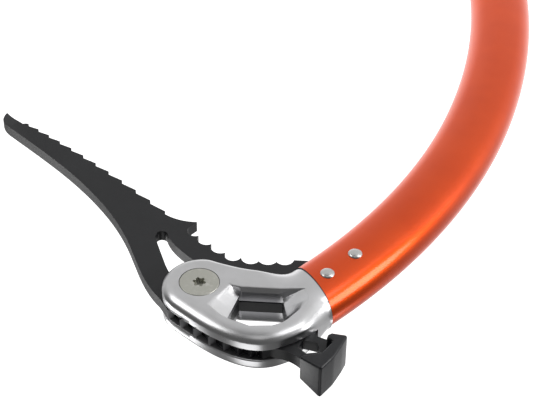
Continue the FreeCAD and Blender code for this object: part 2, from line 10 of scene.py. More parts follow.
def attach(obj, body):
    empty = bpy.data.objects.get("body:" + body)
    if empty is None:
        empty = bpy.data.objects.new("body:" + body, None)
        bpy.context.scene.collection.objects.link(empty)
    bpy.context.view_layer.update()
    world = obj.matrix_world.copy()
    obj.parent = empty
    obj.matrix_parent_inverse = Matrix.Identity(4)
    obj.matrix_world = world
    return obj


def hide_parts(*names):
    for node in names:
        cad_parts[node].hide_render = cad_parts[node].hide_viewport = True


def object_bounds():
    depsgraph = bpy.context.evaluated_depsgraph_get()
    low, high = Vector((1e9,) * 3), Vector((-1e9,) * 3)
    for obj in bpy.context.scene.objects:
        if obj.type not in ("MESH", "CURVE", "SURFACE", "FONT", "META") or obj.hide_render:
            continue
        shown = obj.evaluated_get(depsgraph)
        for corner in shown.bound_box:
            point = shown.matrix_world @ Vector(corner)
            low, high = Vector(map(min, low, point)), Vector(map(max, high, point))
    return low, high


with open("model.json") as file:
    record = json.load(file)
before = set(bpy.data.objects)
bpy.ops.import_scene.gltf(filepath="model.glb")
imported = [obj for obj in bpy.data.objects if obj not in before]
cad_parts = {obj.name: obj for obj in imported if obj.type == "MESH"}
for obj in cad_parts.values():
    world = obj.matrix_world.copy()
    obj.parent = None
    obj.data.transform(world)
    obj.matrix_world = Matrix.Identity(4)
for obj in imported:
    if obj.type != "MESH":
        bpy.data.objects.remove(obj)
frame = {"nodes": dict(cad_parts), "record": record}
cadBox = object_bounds()
nodes = frame["nodes"]
scene = bpy.context.scene
print("frame loaded:", len(nodes), "nodes")


# small helpers for meshes, all of them in millimetres until meshObject

def meshObject(name, points, faces, smoothBelow=35.0):
    mesh = bpy.data.meshes.new(name)
    metres = [tuple(float(c) / 1000.0 for c in p) for p in points]
    mesh.from_pydata(metres, [], [list(f) for f in faces])
    mesh.validate()
    return objectOf(name, mesh, smoothBelow)


def soften(mesh, smoothBelow):  # edges that turn less than this are shaded smooth
    mesh.shade_smooth()
    mesh.set_sharp_from_angle(angle=math.radians(smoothBelow))


def objectOf(name, mesh, smoothBelow=35.0):
    bm = bmesh.new()
    bm.from_mesh(mesh)
    bmesh.ops.recalc_face_normals(bm, faces=bm.faces)
    bm.to_mesh(mesh)
    bm.free()
    soften(mesh, smoothBelow)
    piece = bpy.data.objects.new(name, mesh)
    scene.collection.objects.link(piece)
    return piece


def settle(piece, smoothBelow=None):  # modifiers become plain mesh
    bpy.context.view_layer.update()
    graph = bpy.context.evaluated_depsgraph_get()
    mesh = bpy.data.meshes.new_from_object(piece.evaluated_get(graph))
    piece.modifiers.clear()
    piece.data = mesh
    if smoothBelow:
        soften(mesh, smoothBelow)
    return piece


def cutAway(piece, cutter, smoothBelow=None):
    boolean = piece.modifiers.new("cut", "BOOLEAN")
    boolean.operation = "DIFFERENCE"
    boolean.solver = "EXACT"
    boolean.object = cutter
    settle(piece, smoothBelow)
    bpy.data.objects.remove(cutter)


def bandFaces(first, second, around):  # quads between two closed rings of points
    out = []
    for i in range(around):
        k = (i + 1) % around
        out.append((first + i, first + k, second + k, second + i))
    return out


def plate(name, outline, low, high):  # a flat plate across the blade
    count = len(outline)
    points = [(x, low, z) for x, z in outline] + [(x, high, z) for x, z in outline]
    faces = [list(range(count)), list(range(2 * count - 1, count - 1, -1))]
    faces += bandFaces(0, count, count)
    return meshObject(name, points, faces)


def turned(name, profile, x, z, around=72):  # profile is (radius, y) pairs, closed on the axis
    points = []
    faces = []
    for radius, y in profile:
        for i in range(around):
            a = 2 * math.pi * i / around
            points.append((x + radius * math.cos(a), y, z + radius * math.sin(a)))
    rows = len(profile)
    for j in range(rows - 1):
        faces += bandFaces(j * around, (j + 1) * around, around)
    faces.append(list(range(around)))
    faces.append(list(range((rows - 1) * around, rows * around)))
    return meshObject(name, points, faces)


def smoothLine(points, step):  # a natural cubic through the points, at even steps
    p = np.array(points, float)
    t = np.concatenate([[0], np.cumsum(np.hypot(*np.diff(p, axis=0).T))])
    n = len(t)
    gap = np.diff(t)
    system = np.eye(n)
    right = np.zeros((n, p.shape[1]))
    for i in range(1, n - 1):
        system[i, i - 1:i + 2] = gap[i - 1], 2 * (gap[i - 1] + gap[i]), gap[i]
        right[i] = 6 * ((p[i + 1] - p[i]) / gap[i] - (p[i] - p[i - 1]) / gap[i - 1])
    bend = np.linalg.solve(system, right)
    s = np.linspace(0, t[-1], max(2, int(t[-1] / step) + 1))
    i = np.clip(np.searchsorted(t, s, side="right") - 1, 0, n - 2)
    a = (t[i + 1] - s)[:, None]
    b = (s - t[i])[:, None]
    g = gap[i][:, None]
    out = (bend[i] * a ** 3 + bend[i + 1] * b ** 3) / (6 * g)
    out += (p[i] / g - bend[i] * g / 6) * a + (p[i + 1] / g - bend[i + 1] * g / 6) * b
    return out


def arcLine(start, middle, end, step):  # the arc through three points
    (ax, ay), (bx, by), (cx, cy) = start, middle, end
    a2, b2, c2 = ax ** 2 + ay ** 2, bx ** 2 + by ** 2, cx ** 2 + cy ** 2
    d = 2 * (ax * (by - cy) + bx * (cy - ay) + cx * (ay - by))
    ux = (a2 * (by - cy) + b2 * (cy - ay) + c2 * (ay - by)) / d
    uy = (a2 * (cx - bx) + b2 * (ax - cx) + c2 * (bx - ax)) / d
    r = math.hypot(ax - ux, ay - uy)
    a0 = math.atan2(ay - uy, ax - ux)
    turnMid = (math.atan2(by - uy, bx - ux) - a0) % (2 * math.pi)
    turnEnd = (math.atan2(cy - uy, cx - ux) - a0) % (2 * math.pi)
    if turnMid > turnEnd:
        turnEnd -= 2 * math.pi
    count = max(3, int(abs(turnEnd) * r / step) + 1)
    return [(ux + r * math.cos(a0 + turnEnd * i / count), uy + r * math.sin(a0 + turnEnd * i / count))
            for i in range(count + 1)]


def easeStep(t):
    t = np.clip(t, 0.0, 1.0)
    return t * t * (3 - 2 * t)


# shader maths: a value in a material, with operators

class Flow:
    def __init__(self, tree, socket):
        self.tree = tree
        self.socket = socket

    def node(self, kind, settings=None, sockets=None, out=0):
        node = self.tree.nodes.new(kind)
        for key, value in (settings or {}).items():
            setattr(node, key, value)
        for key, value in (sockets or {}).items():
            if isinstance(value, Flow):
                self.tree.links.new(value.socket, node.inputs[key])
            else:
                node.inputs[key].default_value = value
        return Flow(self.tree, node.outputs[out])

    def maths(self, operation, a, b=0.0):
        return self.node("ShaderNodeMath", {"operation": operation}, {0: a, 1: b})

    def __add__(self, other):
        return self.maths("ADD", self, other)

    def __sub__(self, other):
        return self.maths("SUBTRACT", self, other)

    def __rsub__(self, other):
        return self.maths("SUBTRACT", other, self)

    def __mul__(self, other):
        return self.maths("MULTIPLY", self, other)

    def __truediv__(self, other):
        return self.maths("DIVIDE", self, other)

    def __pow__(self, other):
        return self.maths("POWER", self, other)

    def __abs__(self):
        return self.maths("ABSOLUTE", self)

    def between(self, low, high):  # 0 below low, 1 above high, smooth
        return self.node("ShaderNodeMapRange", {"interpolation_type": "SMOOTHSTEP"},
                         {"Value": self, "From Min": low, "From Max": high})

    def fade(self, first, second):  # a colour that goes from first to second
        return self.node("ShaderNodeMix", {"data_type": "RGBA"},
                         {"Factor": self, "A": first, "B": second}, 2)

    __radd__ = __add__
    __rmul__ = __mul__


class Finish:
    def __init__(self, name, constants):
        self.material = bpy.data.materials.new(name)
        self.material.use_nodes = True
        self.tree = self.material.node_tree
        self.shader = self.tree.nodes["Principled BSDF"]
        for key, value in constants.items():
            self.shader.inputs[key].default_value = value
        start = Flow(self.tree, None)
        self.node = start.node
        self.place = self.node("ShaderNodeTexCoord", out=3)
        self.facing = self.node("ShaderNodeTexCoord", out=1)

    def noise(self, scale, detail=3.0, stretch=None, roughness=0.5):
        place = self.place
        if stretch:
            place = self.node("ShaderNodeMapping", {}, {"Vector": place, "Scale": stretch})
        return self.node("ShaderNodeTexNoise", {}, {"Vector": place, "Scale": scale, "Detail": detail,
                                                    "Roughness": roughness})

    def axis(self, vector, which):
        return self.node("ShaderNodeSeparateXYZ", {}, {"Vector": vector}, which)

    def join(self, flow, key):
        self.tree.links.new(flow.socket, self.shader.inputs[key])

    def bump(self, height, strength, distance):
        self.join(self.node("ShaderNodeBump", {}, {"Height": height, "Strength": strength,
                                                   "Distance": distance}), "Normal")


def rgb(r, g, b):
    return (r, g, b, 1.0)


# the shaft's curve, which the head's neck, the tube and the stub share

shaftLine = {
    "halfDepth": 16.4, "halfThick": 11.5, "endRadius": 10.6, "wall": 1.7,
    "knee": (-46.5, 263.8), "kneeHeading": -99.4, "radii": (344.0, 400.0),
    "topHeading": -124.8, "tubeEnd": -75.2, "pastTop": -126.0,
    "joint": (11.8, 407.5), "jointAngle": 41.7, "gasket": 0.6,
}


def pointing(degrees):
    return np.array([math.cos(math.radians(degrees)), math.sin(math.radians(degrees))])


def shaftCentre(degrees):
    s = shaftLine
    radius = s["radii"][0] if degrees < s["kneeHeading"] else s["radii"][1]
    return np.array(s["knee"]) + radius * pointing(s["kneeHeading"] + 90) - radius * pointing(degrees + 90)


jointAt = np.array(shaftLine["joint"])
jointOut = pointing(shaftLine["jointAngle"])
jointAlong = np.array([-jointOut[1], jointOut[0]])
jointSlant = math.radians(180 + shaftLine["topHeading"] - shaftLine["jointAngle"])


def sideArc(a, b, e):  # radius of a four-arc section's long sides, and the angle where its ends begin
    sideR = ((a - e) ** 2 + b ** 2 - e ** 2) / (2 * (b - e))
    return sideR, math.atan2(sideR - b, a - e)


def shaftOval(inset, around):  # (across, thick) points of the shaft's four-arc section
    a = shaftLine["halfDepth"] - inset
    b = shaftLine["halfThick"] - inset
    e = shaftLine["endRadius"] - inset
    sideR, turn = sideArc(a, b, e)
    out = []
    for i in range(around):
        t = 2 * math.pi * i / around
        quarter, part = divmod(t, math.pi / 2)
        part = part / (math.pi / 2)
        if quarter in (1, 3):
            part = 1 - part
        share = e * turn / (e * turn + sideR * (math.pi / 2 - turn))
        if part < share:
            g = part / share * turn
            u, y = a - e + e * math.cos(g), e * math.sin(g)
        else:
            g = turn + (part - share) / (1 - share) * (math.pi / 2 - turn)
            u, y = sideR * math.cos(g), b - sideR + sideR * math.sin(g)
        out.append((u if quarter in (0, 3) else -u, y if quarter in (0, 1) else -y))
    return out


def ovalHeight(u):  # the section's half thickness at a distance across
    a, b, e = shaftLine["halfDepth"], shaftLine["halfThick"], shaftLine["endRadius"]
    sideR, turn = sideArc(a, b, e)
    u = np.abs(u)
    flat = b - sideR + np.sqrt(np.maximum(sideR ** 2 - u ** 2, 0))
    end = np.sqrt(np.maximum(e ** 2 - (u - (a - e)) ** 2, 0))
    return np.where(u < a - e + e * math.cos(turn), flat, end)


def headingAtJoint(u, past):  # where a line of the shaft meets the joint's plane, by halving
    low, high = shaftLine["pastTop"] - 6.0, shaftLine["pastTop"] + 8.0
    for _ in range(40):
        heading = (low + high) / 2
        spot = shaftCentre(heading) + pointing(heading + 90) * u
        if (spot - jointAt) @ jointOut > past:
            low = heading
        else:
            high = heading
    return heading


def sweptTube(name, inset, thick, past, bottom, rows, around):  # from the joint down to a heading
    points = []
    faces = []
    for extra in (0.0, thick):
        for u, y in shaftOval(inset + extra, around):
            start = headingAtJoint(u, past)
            for j in range(rows + 1):
                h = start + (bottom - start) * j / rows
                x, z = shaftCentre(h) + pointing(h + 90) * u
                points.append((x, y, z))
    span = rows + 1
    layerSize = around * span

    def at(layer, i, j):
        return layer * layerSize + (i % around) * span + j

    for i in range(around):
        for j in range(rows):
            faces.append((at(0, i, j), at(0, i, j + 1), at(0, i + 1, j + 1), at(0, i + 1, j)))
            faces.append((at(1, i, j), at(1, i + 1, j), at(1, i + 1, j + 1), at(1, i, j + 1)))
        for j in (0, rows):
            faces.append((at(0, i, j), at(0, i + 1, j), at(1, i + 1, j), at(1, i, j)))
    return meshObject(name, points, faces, 40)


# head: two forged cheeks, rounded outside, with an eye between bevelled ends

forgedHead = {
    "half": 10.8, "eyeCentre": (34.5, 428.2), "step": 0.55,
    "boltAt": (63.2, 419.4),
    "bottom": [(24.6, 396.2), (27.5, 400.6), (33.0, 403.5), (44.0, 404.9), (56.0, 403.6), (62.0, 402.2)],
    "noseTo": (72.3, 434.0), "noseThrough": (80.4, 419.4),
    "top": [(72.3, 434.0), (68.2, 436.5), (64.0, 439.0), (55.0, 444.0), (45.0, 448.0), (36.0, 449.8),
            (29.0, 449.4), (23.0, 447.2), (17.6, 443.4), (12.6, 438.9), (8.2, 433.6), (5.0, 427.8)],
    "rear": (1.9, 421.5),
    # share of the way round, width of the rounding, height of the rim
    "rounding": [(0.0, 2.6, 8.6), (0.19, 2.6, 8.6), (0.30, 4.4, 7.6), (0.42, 7.2, 6.8), (0.52, 9.0, 6.5),
                 (0.72, 9.2, 6.5), (0.80, 8.6, 6.6), (1.0, 8.0, 6.6)],
    # the eye's edge inside, how far from the middle the bevel starts, and the edge on the face
    "eye": [((24.9, 417.0), 5.8, (15.5, 413.9)), ((26.4, 417.2), 8.5, (25.6, 415.6)),
            ((43.4, 419.6), 8.6, (44.2, 418.2)), ((44.6, 419.8), 6.0, (49.2, 417.8)),
            ((46.0, 429.5), 5.8, (54.2, 427.4)), ((47.0, 436.0), 5.8, (56.0, 432.5)),
            ((46.2, 437.4), 7.6, (50.8, 436.8)), ((43.4, 439.5), 10.2, (44.6, 440.1)),
            ((35.0, 441.8), 10.35, (35.0, 442.1)), ((26.4, 439.5), 10.2, (25.4, 439.9)),
            ((23.4, 437.3), 7.6, (21.3, 436.9)), ((22.6, 436.2), 5.8, (19.4, 434.2)),
            ((20.6, 428.0), 5.8, (15.2, 426.6)), ((22.8, 422.6), 5.8, (12.9, 420.0))],
    # rings on the bevel and on the cheek, which crowd towards the lip, and points along the joint
    "bevelRings": 12, "cheekRings": 44, "cheekCrowding": 1.25, "closingCount": 40,
    "neckBlend": 20.0, "slotHalf": 3.0,
    # the slot's rims are eased where the head is thicker than this, and away from the joint
    "slotEase": 0.45, "easedOver": 5.6, "easedAway": 0.3,
    # rows across the rim: share of the way to a cheek, height past the slot's wall
    "rims": [(-1, 0.6), (-0.75, 0.15), (-0.5, -0.3), (0.5, -0.3), (0.75, 0.15), (1, 0.6)],
    "bore": [(9.35, -14.0), (9.35, -7.4), (4.05, -7.4), (4.05, 7.4), (9.35, 7.4), (9.35, 14.0)],
    "slot": [(6.2, 429.2), (27.6, 398.2), (20.0, 380.0), (120.0, 380.0), (120.0, 470.0), (0.0, 470.0)],
}


def rayHits(loop, centre, angles):  # where rays leave a star-shaped loop: distance, edge, share of it
    a = loop - centre
    b = np.roll(loop, -1, axis=0) - centre
    out = []
    for angle in angles:
        d = np.array([math.cos(angle), math.sin(angle)])
        sideA = a[:, 0] * d[1] - a[:, 1] * d[0]
        sideB = b[:, 0] * d[1] - b[:, 1] * d[0]
        crossing = sideA * sideB <= 0
        share = np.where(crossing, sideA / np.where(sideA == sideB, 1.0, sideA - sideB), 0.0)
        hit = a + (b - a) * share[:, None]
        reach = np.where(crossing & (hit @ d > 0), hit @ d, -1.0)
        k = int(np.argmax(reach))
        out.append((reach[k], k, share[k]))
    return out


def distanceTo(points, line):  # from points to a polyline, with the place of the nearest spot along it
    a, b = line[:-1], line[1:]
    ab = b - a
    length = np.hypot(ab[:, 0], ab[:, 1])
    before = np.concatenate([[0], np.cumsum(length)])
    best = np.full(len(points), 1e9)
    place = np.zeros(len(points))
    for k in range(len(a)):
        t = np.clip(((points - a[k]) @ ab[k]) / max(length[k] ** 2, 1e-12), 0, 1)
        d = np.hypot(*(points - a[k] - t[:, None] * ab[k]).T)
        closer = d < best
        best = np.where(closer, d, best)
        place = np.where(closer, before[k] + t * length[k], place)
    return best, place / before[-1]


def headOutline(s):
    nose = arcLine(s["bottom"][-1], s["noseThrough"], s["noseTo"], s["step"])
    line = [tuple(p) for p in smoothLine(s["bottom"], s["step"])] + nose[1:-1]
    line += [tuple(p) for p in smoothLine(s["top"], s["step"])]
    start, end = np.array(line[-1]), np.array(s["rear"])
    count = int(np.hypot(*(end - start)) / s["step"])
    line += [tuple(start + (end - start) * i / count) for i in range(1, count + 1)]
    line = np.array(line)
    offset = (line - jointAt) @ jointOut - shaftLine["gasket"]
    line = line[offset > 0.02]  # nothing past the joint
    reach = shaftLine["halfDepth"] / math.cos(jointSlant)
    ends = [jointAt + jointOut * shaftLine["gasket"] + jointAlong * q for q in (-reach, reach)]
    return np.vstack([ends[0], line, ends[1]])


def headRings(s, outer):  # rings from the eye's edge out to the outline, and the eye's depth
    centre = np.array(s["eyeCentre"])
    count = s["closingCount"]
    closing = [outer[-1] + (outer[0] - outer[-1]) * i / count for i in range(1, count)]
    loop = np.vstack([outer, closing])
    inner, depth, lip = (np.array(column) for column in zip(*s["eye"]))
    angles = np.concatenate([np.arctan2(*(line - centre).T[::-1]) for line in (loop, lip)])
    angles = np.sort(angles)
    angles = angles[np.concatenate([[True], np.diff(angles) > 0.002])]
    outerHit = rayHits(loop, centre, angles)
    lipHit = rayHits(lip, centre, angles)
    n = len(angles)
    lipPoints = np.zeros((n, 2))
    innerPoints = np.zeros((n, 2))
    innerDepth = np.zeros(n)
    outerPoints = np.zeros((n, 2))
    for i, angle in enumerate(angles):
        d = np.array([math.cos(angle), math.sin(angle)])
        reach, k, share = lipHit[i]
        after = (k + 1) % len(lip)
        lipPoints[i] = centre + d * reach
        innerPoints[i] = inner[k] + (inner[after] - inner[k]) * share
        innerDepth[i] = depth[k] + (depth[after] - depth[k]) * share
        outerPoints[i] = centre + d * outerHit[i][0]
    rings = []
    for j in range(s["bevelRings"] + 1):
        rings.append(innerPoints + (lipPoints - innerPoints) * (j / s["bevelRings"]))
    for j in range(1, s["cheekRings"] + 1):
        t = 1 - (1 - j / s["cheekRings"]) ** s["cheekCrowding"]
        rings.append(lipPoints + (outerPoints - lipPoints) * t)
    return np.array(rings), innerDepth


def cheekHeight(s, grid, outer, innerDepth):  # half thickness of the head at each point of the rings
    flat = grid.reshape(-1, 2)
    away, place = distanceTo(flat, outer)
    table = np.array(s["rounding"])
    width = np.interp(place, table[:, 0], table[:, 1])
    rim = np.interp(place, table[:, 0], table[:, 2])
    t = np.clip(away / width, 0, 1)
    height = rim + (s["half"] - rim) * np.sqrt(np.maximum(1 - (1 - t) ** 2.0, 0))
    # towards the joint the cheeks run into the shaft's own section
    offset = (flat - jointAt) @ jointOut - shaftLine["gasket"]
    inside = shaftLine["halfDepth"] - away
    neck = np.maximum(ovalHeight(np.clip(inside, 0.0, shaftLine["halfDepth"] - 0.01)), 0.3)
    blend = easeStep(offset / s["neckBlend"])
    height = neck * (1 - blend) + height * blend
    height = height.reshape(grid.shape[:2])
    bevel = s["bevelRings"]
    lipHeight = height[bevel].copy()
    for j in range(bevel):
        height[j] = innerDepth + (lipHeight - innerDepth) * (j / bevel)
    for _ in range(4):  # creases of a forging are soft
        soft = height.copy()
        for j in range(1, bevel + 5):
            soft[j] = (height[j - 1] + 2 * height[j] + height[j + 1]) / 4
        height[1:bevel + 4] = soft[1:bevel + 4]
        around = (np.roll(height, 1, axis=1) + 2 * height + np.roll(height, -1, axis=1)) / 4
        height[1:bevel + 2] = around[1:bevel + 2]
    return height


def rimRows(s, outerPoints, rimHeight):  # rows of points across the rim, from one cheek to the other
    solid = easeStep((rimHeight - s["easedOver"]) / 0.6)
    solid *= easeStep(((outerPoints - jointAt) @ jointOut - shaftLine["gasket"] - s["easedAway"]) / 3.0)
    inward = outerPoints - np.array(s["eyeCentre"])
    inward /= np.hypot(*inward.T)[:, None]
    rows = []
    for level, pastSlot in s["rims"]:
        y = np.minimum(s["slotHalf"] + pastSlot, rimHeight * (0.5 + 0.3 * abs(level)))
        spot = outerPoints - inward * (s["slotEase"] * solid * (abs(level) < 1))[:, None]
        rows.append([(x, math.copysign(1, level) * h, z) for (x, z), h in zip(spot, y)])
    return rows


def makeHead():
    s = forgedHead
    outer = headOutline(s)
    grid, innerDepth = headRings(s, outer)
    height = cheekHeight(s, grid, outer, innerDepth)
    m, n = height.shape
    points = []
    faces = []
    for side in (-1, 1):
        for ring, level in zip(grid, height):
            points += [(x, side * h, z) for (x, z), h in zip(ring, level)]
    for base in (0, m * n):
        for j in range(m - 1):
            faces += bandFaces(base + j * n, base + (j + 1) * n, n)
    ladder = [(m - 1) * n]
    for row in rimRows(s, grid[-1], height[-1]):
        ladder.append(len(points))
        points += row
    ladder.append((2 * m - 1) * n)
    for low, high in zip(ladder[:-1], ladder[1:]):
        faces += bandFaces(low, high, n)
    faces += bandFaces(0, m * n, n)
    head = meshObject("forgedHead", points, faces, 38)
    cutAway(head, turned("boltBore", s["bore"], *s["boltAt"]))
    cutAway(head, plate("cheekSlot", s["slot"], -s["slotHalf"], s["slotHalf"]))
    return head


# copies of CAD pieces whose edges get a small real rounding

def eased(nodeName, name, width, segments=2, edgesOver=32.0, cutFirst=None):
    mesh = nodes[nodeName].data.copy()
    bm = bmesh.new()
    bm.from_mesh(mesh)
    bmesh.ops.remove_doubles(bm, verts=bm.verts, dist=2e-6)
    bmesh.ops.dissolve_limit(bm, angle_limit=math.radians(0.6), verts=bm.verts, edges=bm.edges)
    bm.to_mesh(mesh)
    bm.free()
    mesh.name = name
    piece = objectOf(name, mesh, edgesOver)
    if cutFirst:
        cutFirst(piece)
    bevel = piece.modifiers.new("edge", "BEVEL")
    bevel.width = width / 1000.0
    bevel.segments = segments
    bevel.limit_method = "ANGLE"
    bevel.angle_limit = math.radians(edgesOver)
    bevel.harden_normals = True
    bevel.use_clamp_overlap = True
    return settle(piece)


# hammer: a block with rounded edges that thins towards its toe

hammerBlock = {
    # corners with the radius of each
    "corners": [(-0.4, 460.1, 1.3), (10.3, 452.6, 0.9), (9.4, 450.9, 0.6), (1.0, 449.4, 1.4),
                (-2.6, 441.4, 1.0), (0.6, 441.0, 0.7), (0.5, 438.4, 0.9), (-1.0, 436.9, 0.9),
                (-8.4, 436.9, 1.3), (-7.0, 443.4, 14.0), (-4.6, 451.6, 14.0)],
    "half": 9.3, "toeLoss": 2.3, "toeFrom": -0.6, "toeLong": 10.9, "edge": 1.15,
    "slot": [(12.0, 449.2), (3.45, 456.1), (-3.9, 441.0), (-1.8, 435.9), (4.0, 430.0)], "slotHalf": 3.0,
}


def roundedLoop(corners, steps=6):  # corners are (x, z, radius)
    out = []
    for i, (x, z, radius) in enumerate(corners):
        here = np.array((x, z))
        back = np.array(corners[i - 1][:2]) - here
        ahead = np.array(corners[(i + 1) % len(corners)][:2]) - here
        backLong, aheadLong = np.hypot(*back), np.hypot(*ahead)
        back, ahead = back / backLong, ahead / aheadLong
        turn = math.pi - math.acos(max(-1.0, min(1.0, float(back @ ahead))))
        reach = min(radius * math.tan(turn / 2), 0.47 * backLong, 0.47 * aheadLong)
        for k in range(steps + 1):
            t = k / steps
            out.append(here + back * reach * (1 - t) ** 2 + ahead * reach * t ** 2)
    return np.array(out)


def softPlate(name, loop, halfAt, edge, steps=5):  # a plate whose two rims are rounded by edge
    area = np.sum(loop[:, 0] * np.roll(loop[:, 1], -1) - np.roll(loop[:, 0], -1) * loop[:, 1])
    if area < 0:
        loop = loop[::-1]
    n = len(loop)
    before = loop - np.roll(loop, 1, axis=0)
    after = np.roll(loop, -1, axis=0) - loop
    before = before / np.hypot(*before.T)[:, None]
    after = after / np.hypot(*after.T)[:, None]
    inward = np.stack([-(before[:, 1] + after[:, 1]), before[:, 0] + after[:, 0]], axis=1)
    inward = inward / np.maximum(np.sum(inward ** 2, axis=1) / 2, 1.0)[:, None]
    points = []
    faces = []
    rings = [(-1, k) for k in range(steps + 1)] + [(1, k) for k in range(steps, -1, -1)]
    for side, k in rings:
        bend = math.pi / 2 * k / steps
        ring = loop + inward * edge * (1 - math.sin(bend))
        for x, z in ring:
            points.append((x, side * (halfAt(x, z) - edge * (1 - math.cos(bend))), z))
    for j in range(len(rings) - 1):
        faces += bandFaces(j * n, (j + 1) * n, n)
    faces.append(list(range(n)))
    faces.append(list(range((len(rings) - 1) * n, len(rings) * n)))
    piece = meshObject(name, points, faces, 38)
    bm = bmesh.new()
    bm.from_mesh(piece.data)
    bmesh.ops.triangulate(bm, faces=[face for face in bm.faces if len(face.verts) > 4])
    bm.to_mesh(piece.data)
    bm.free()
    return piece


def makeHammer():
    s = hammerBlock

    def halfAt(x, z):
        return s["half"] - s["toeLoss"] * float(easeStep((x - s["toeFrom"]) / s["toeLong"]))

    block = softPlate("hammerBlock", roundedLoop(s["corners"]), halfAt, s["edge"])
    cutAway(block, plate("tongueRoom", s["slot"], -s["slotHalf"], s["slotHalf"]), 38)
    return block


# the plate's toothed edge between the cheeks is cut deeper, with a steep face and a hollow one

edgeTeeth = {
    "crests": [(74.8, 433.0), (68.0, 437.6), (60.7, 441.9), (53.0, 445.2), (45.6, 447.0), (38.9, 448.2),
               (33.0, 448.6), (27.9, 448.1)],
    # the gullet's place past a crest and how far the long face sinks, as shares of the pitch
    "steep": (-0.36, -0.40), "hollow": 0.10, "steps": 8, "half": 4.0, "over": 5.0,
}


def toothLoop(s):  # along the teeth, and back past their crests
    crests = [np.array(c) for c in s["crests"]]
    steps = s["steps"]
    loop = []
    for here, after in zip(crests[:-1], crests[1:]):
        pitch = np.hypot(*(after - here))
        gullet = here + np.array(s["steep"]) * pitch
        rise = after - gullet
        sink = np.array([rise[1], -rise[0]]) * s["hollow"]
        if sink[1] > 0:
            sink = -sink
        loop.append(here)
        loop += [gullet + rise * t / steps + sink * 4 * t / steps * (1 - t / steps) for t in range(steps)]
    loop.append(crests[-1])
    middle = np.array(forgedHead["eyeCentre"])
    for crest in crests[::-1]:
        out = (crest - middle) / np.hypot(*(crest - middle))
        loop.append(crest + out * s["over"])
    return loop


def cutTeeth(piece):
    s = edgeTeeth
    loop = toothLoop(s)
    count = len(loop)
    cutter = bmesh.new()
    rims = []
    for y in (-s["half"], s["half"]):
        rims.append([cutter.verts.new((x / 1000, y / 1000, z / 1000)) for x, z in loop])
    cutter.faces.new(rims[0])
    cutter.faces.new(rims[1][::-1])
    for i in range(count):
        k = (i + 1) % count
        cutter.faces.new((rims[0][k], rims[0][i], rims[1][i], rims[1][k]))
    mesh = bpy.data.meshes.new("toothCutter")
    cutter.to_mesh(mesh)
    cutter.free()
    cutAway(piece, objectOf("toothCutter", mesh))


# handle pieces are shaped upright and then leaned with the handle

handleTop = {"back": 34.393, "up": 81.521}  # the pivot, from the middle of the grip
handleLean = math.atan2(handleTop["back"], handleTop["up"])


def fromHandle(u, w):
    return (u * math.cos(handleLean) - w * math.sin(handleLean),
            u * math.sin(handleLean) + w * math.cos(handleLean))


gripSleeve = {
    "low": -45.8, "high": 56.0, "halfDepth": 16.4, "halfThick": 14.4, "endRadius": 13.0,
    "fingers": [-28.0, -9.0, 10.0, 29.0], "fingerDepth": 1.7, "fingerWide": 6.5,
    "waist": 0.7, "lipRound": 1.6, "rows": 150, "around": 128,
    "core": (11.0, 9.0), "coreOver": 1.002, "forkHalf": 11.45, "forkFrom": 45.0,
    "bayHalf": 7.2, "bayDepth": 10.5, "triggerBay": 28.5, "restBay": -19.0,
}


def gripPoint(s, i, w):  # a point of the sleeve's outside, in the handle's frame, and its way out
    a, b, e = s["halfDepth"], s["halfThick"], s["endRadius"]
    sideR, turn = sideArc(a, b, e)
    phi = 2 * math.pi * i
    fingers = sum(math.exp(-((w - f) / s["fingerWide"]) ** 2) for f in s["fingers"])
    front = max(0.0, math.cos(phi)) ** 0.7
    ends = min(w - s["low"], s["high"] - w)
    lip = s["lipRound"] * (1 - math.sqrt(max(0.0, 1 - (1 - min(1.0, ends / s["lipRound"])) ** 2)))
    inset = s["fingerDepth"] * front * fingers + lip
    inset += s["waist"] * (0.5 + 0.5 * math.cos(2 * phi + math.pi)) * math.exp(-((w - 5) / 30.0) ** 2)
    c, d = abs(math.cos(phi)), abs(math.sin(phi))
    g = math.atan2(d, c)
    if g < turn:
        u, y = a - e + e * math.cos(g), e * math.sin(g)
    else:
        u, y = sideR * math.cos(g), b - sideR + sideR * math.sin(g)
    across, thick = math.cos(phi), math.sin(phi)
    out = (math.copysign(math.cos(g), across), math.copysign(math.sin(g), thick))
    return math.copysign(u, across) - out[0] * inset, math.copysign(y, thick) - out[1] * inset, out


def leanedBox(name, u0, u1, y0, y1, w0, w1):
    points = []
    for w in (w0, w1):
        for y in (y0, y1):
            for u in (u0, u1):
                x, z = fromHandle(u, w)
                points.append((x, y, z))
    faces = [(0, 1, 3, 2), (4, 6, 7, 5), (0, 4, 5, 1), (2, 3, 7, 6), (0, 2, 6, 4), (1, 5, 7, 3)]
    return meshObject(name, points, faces)


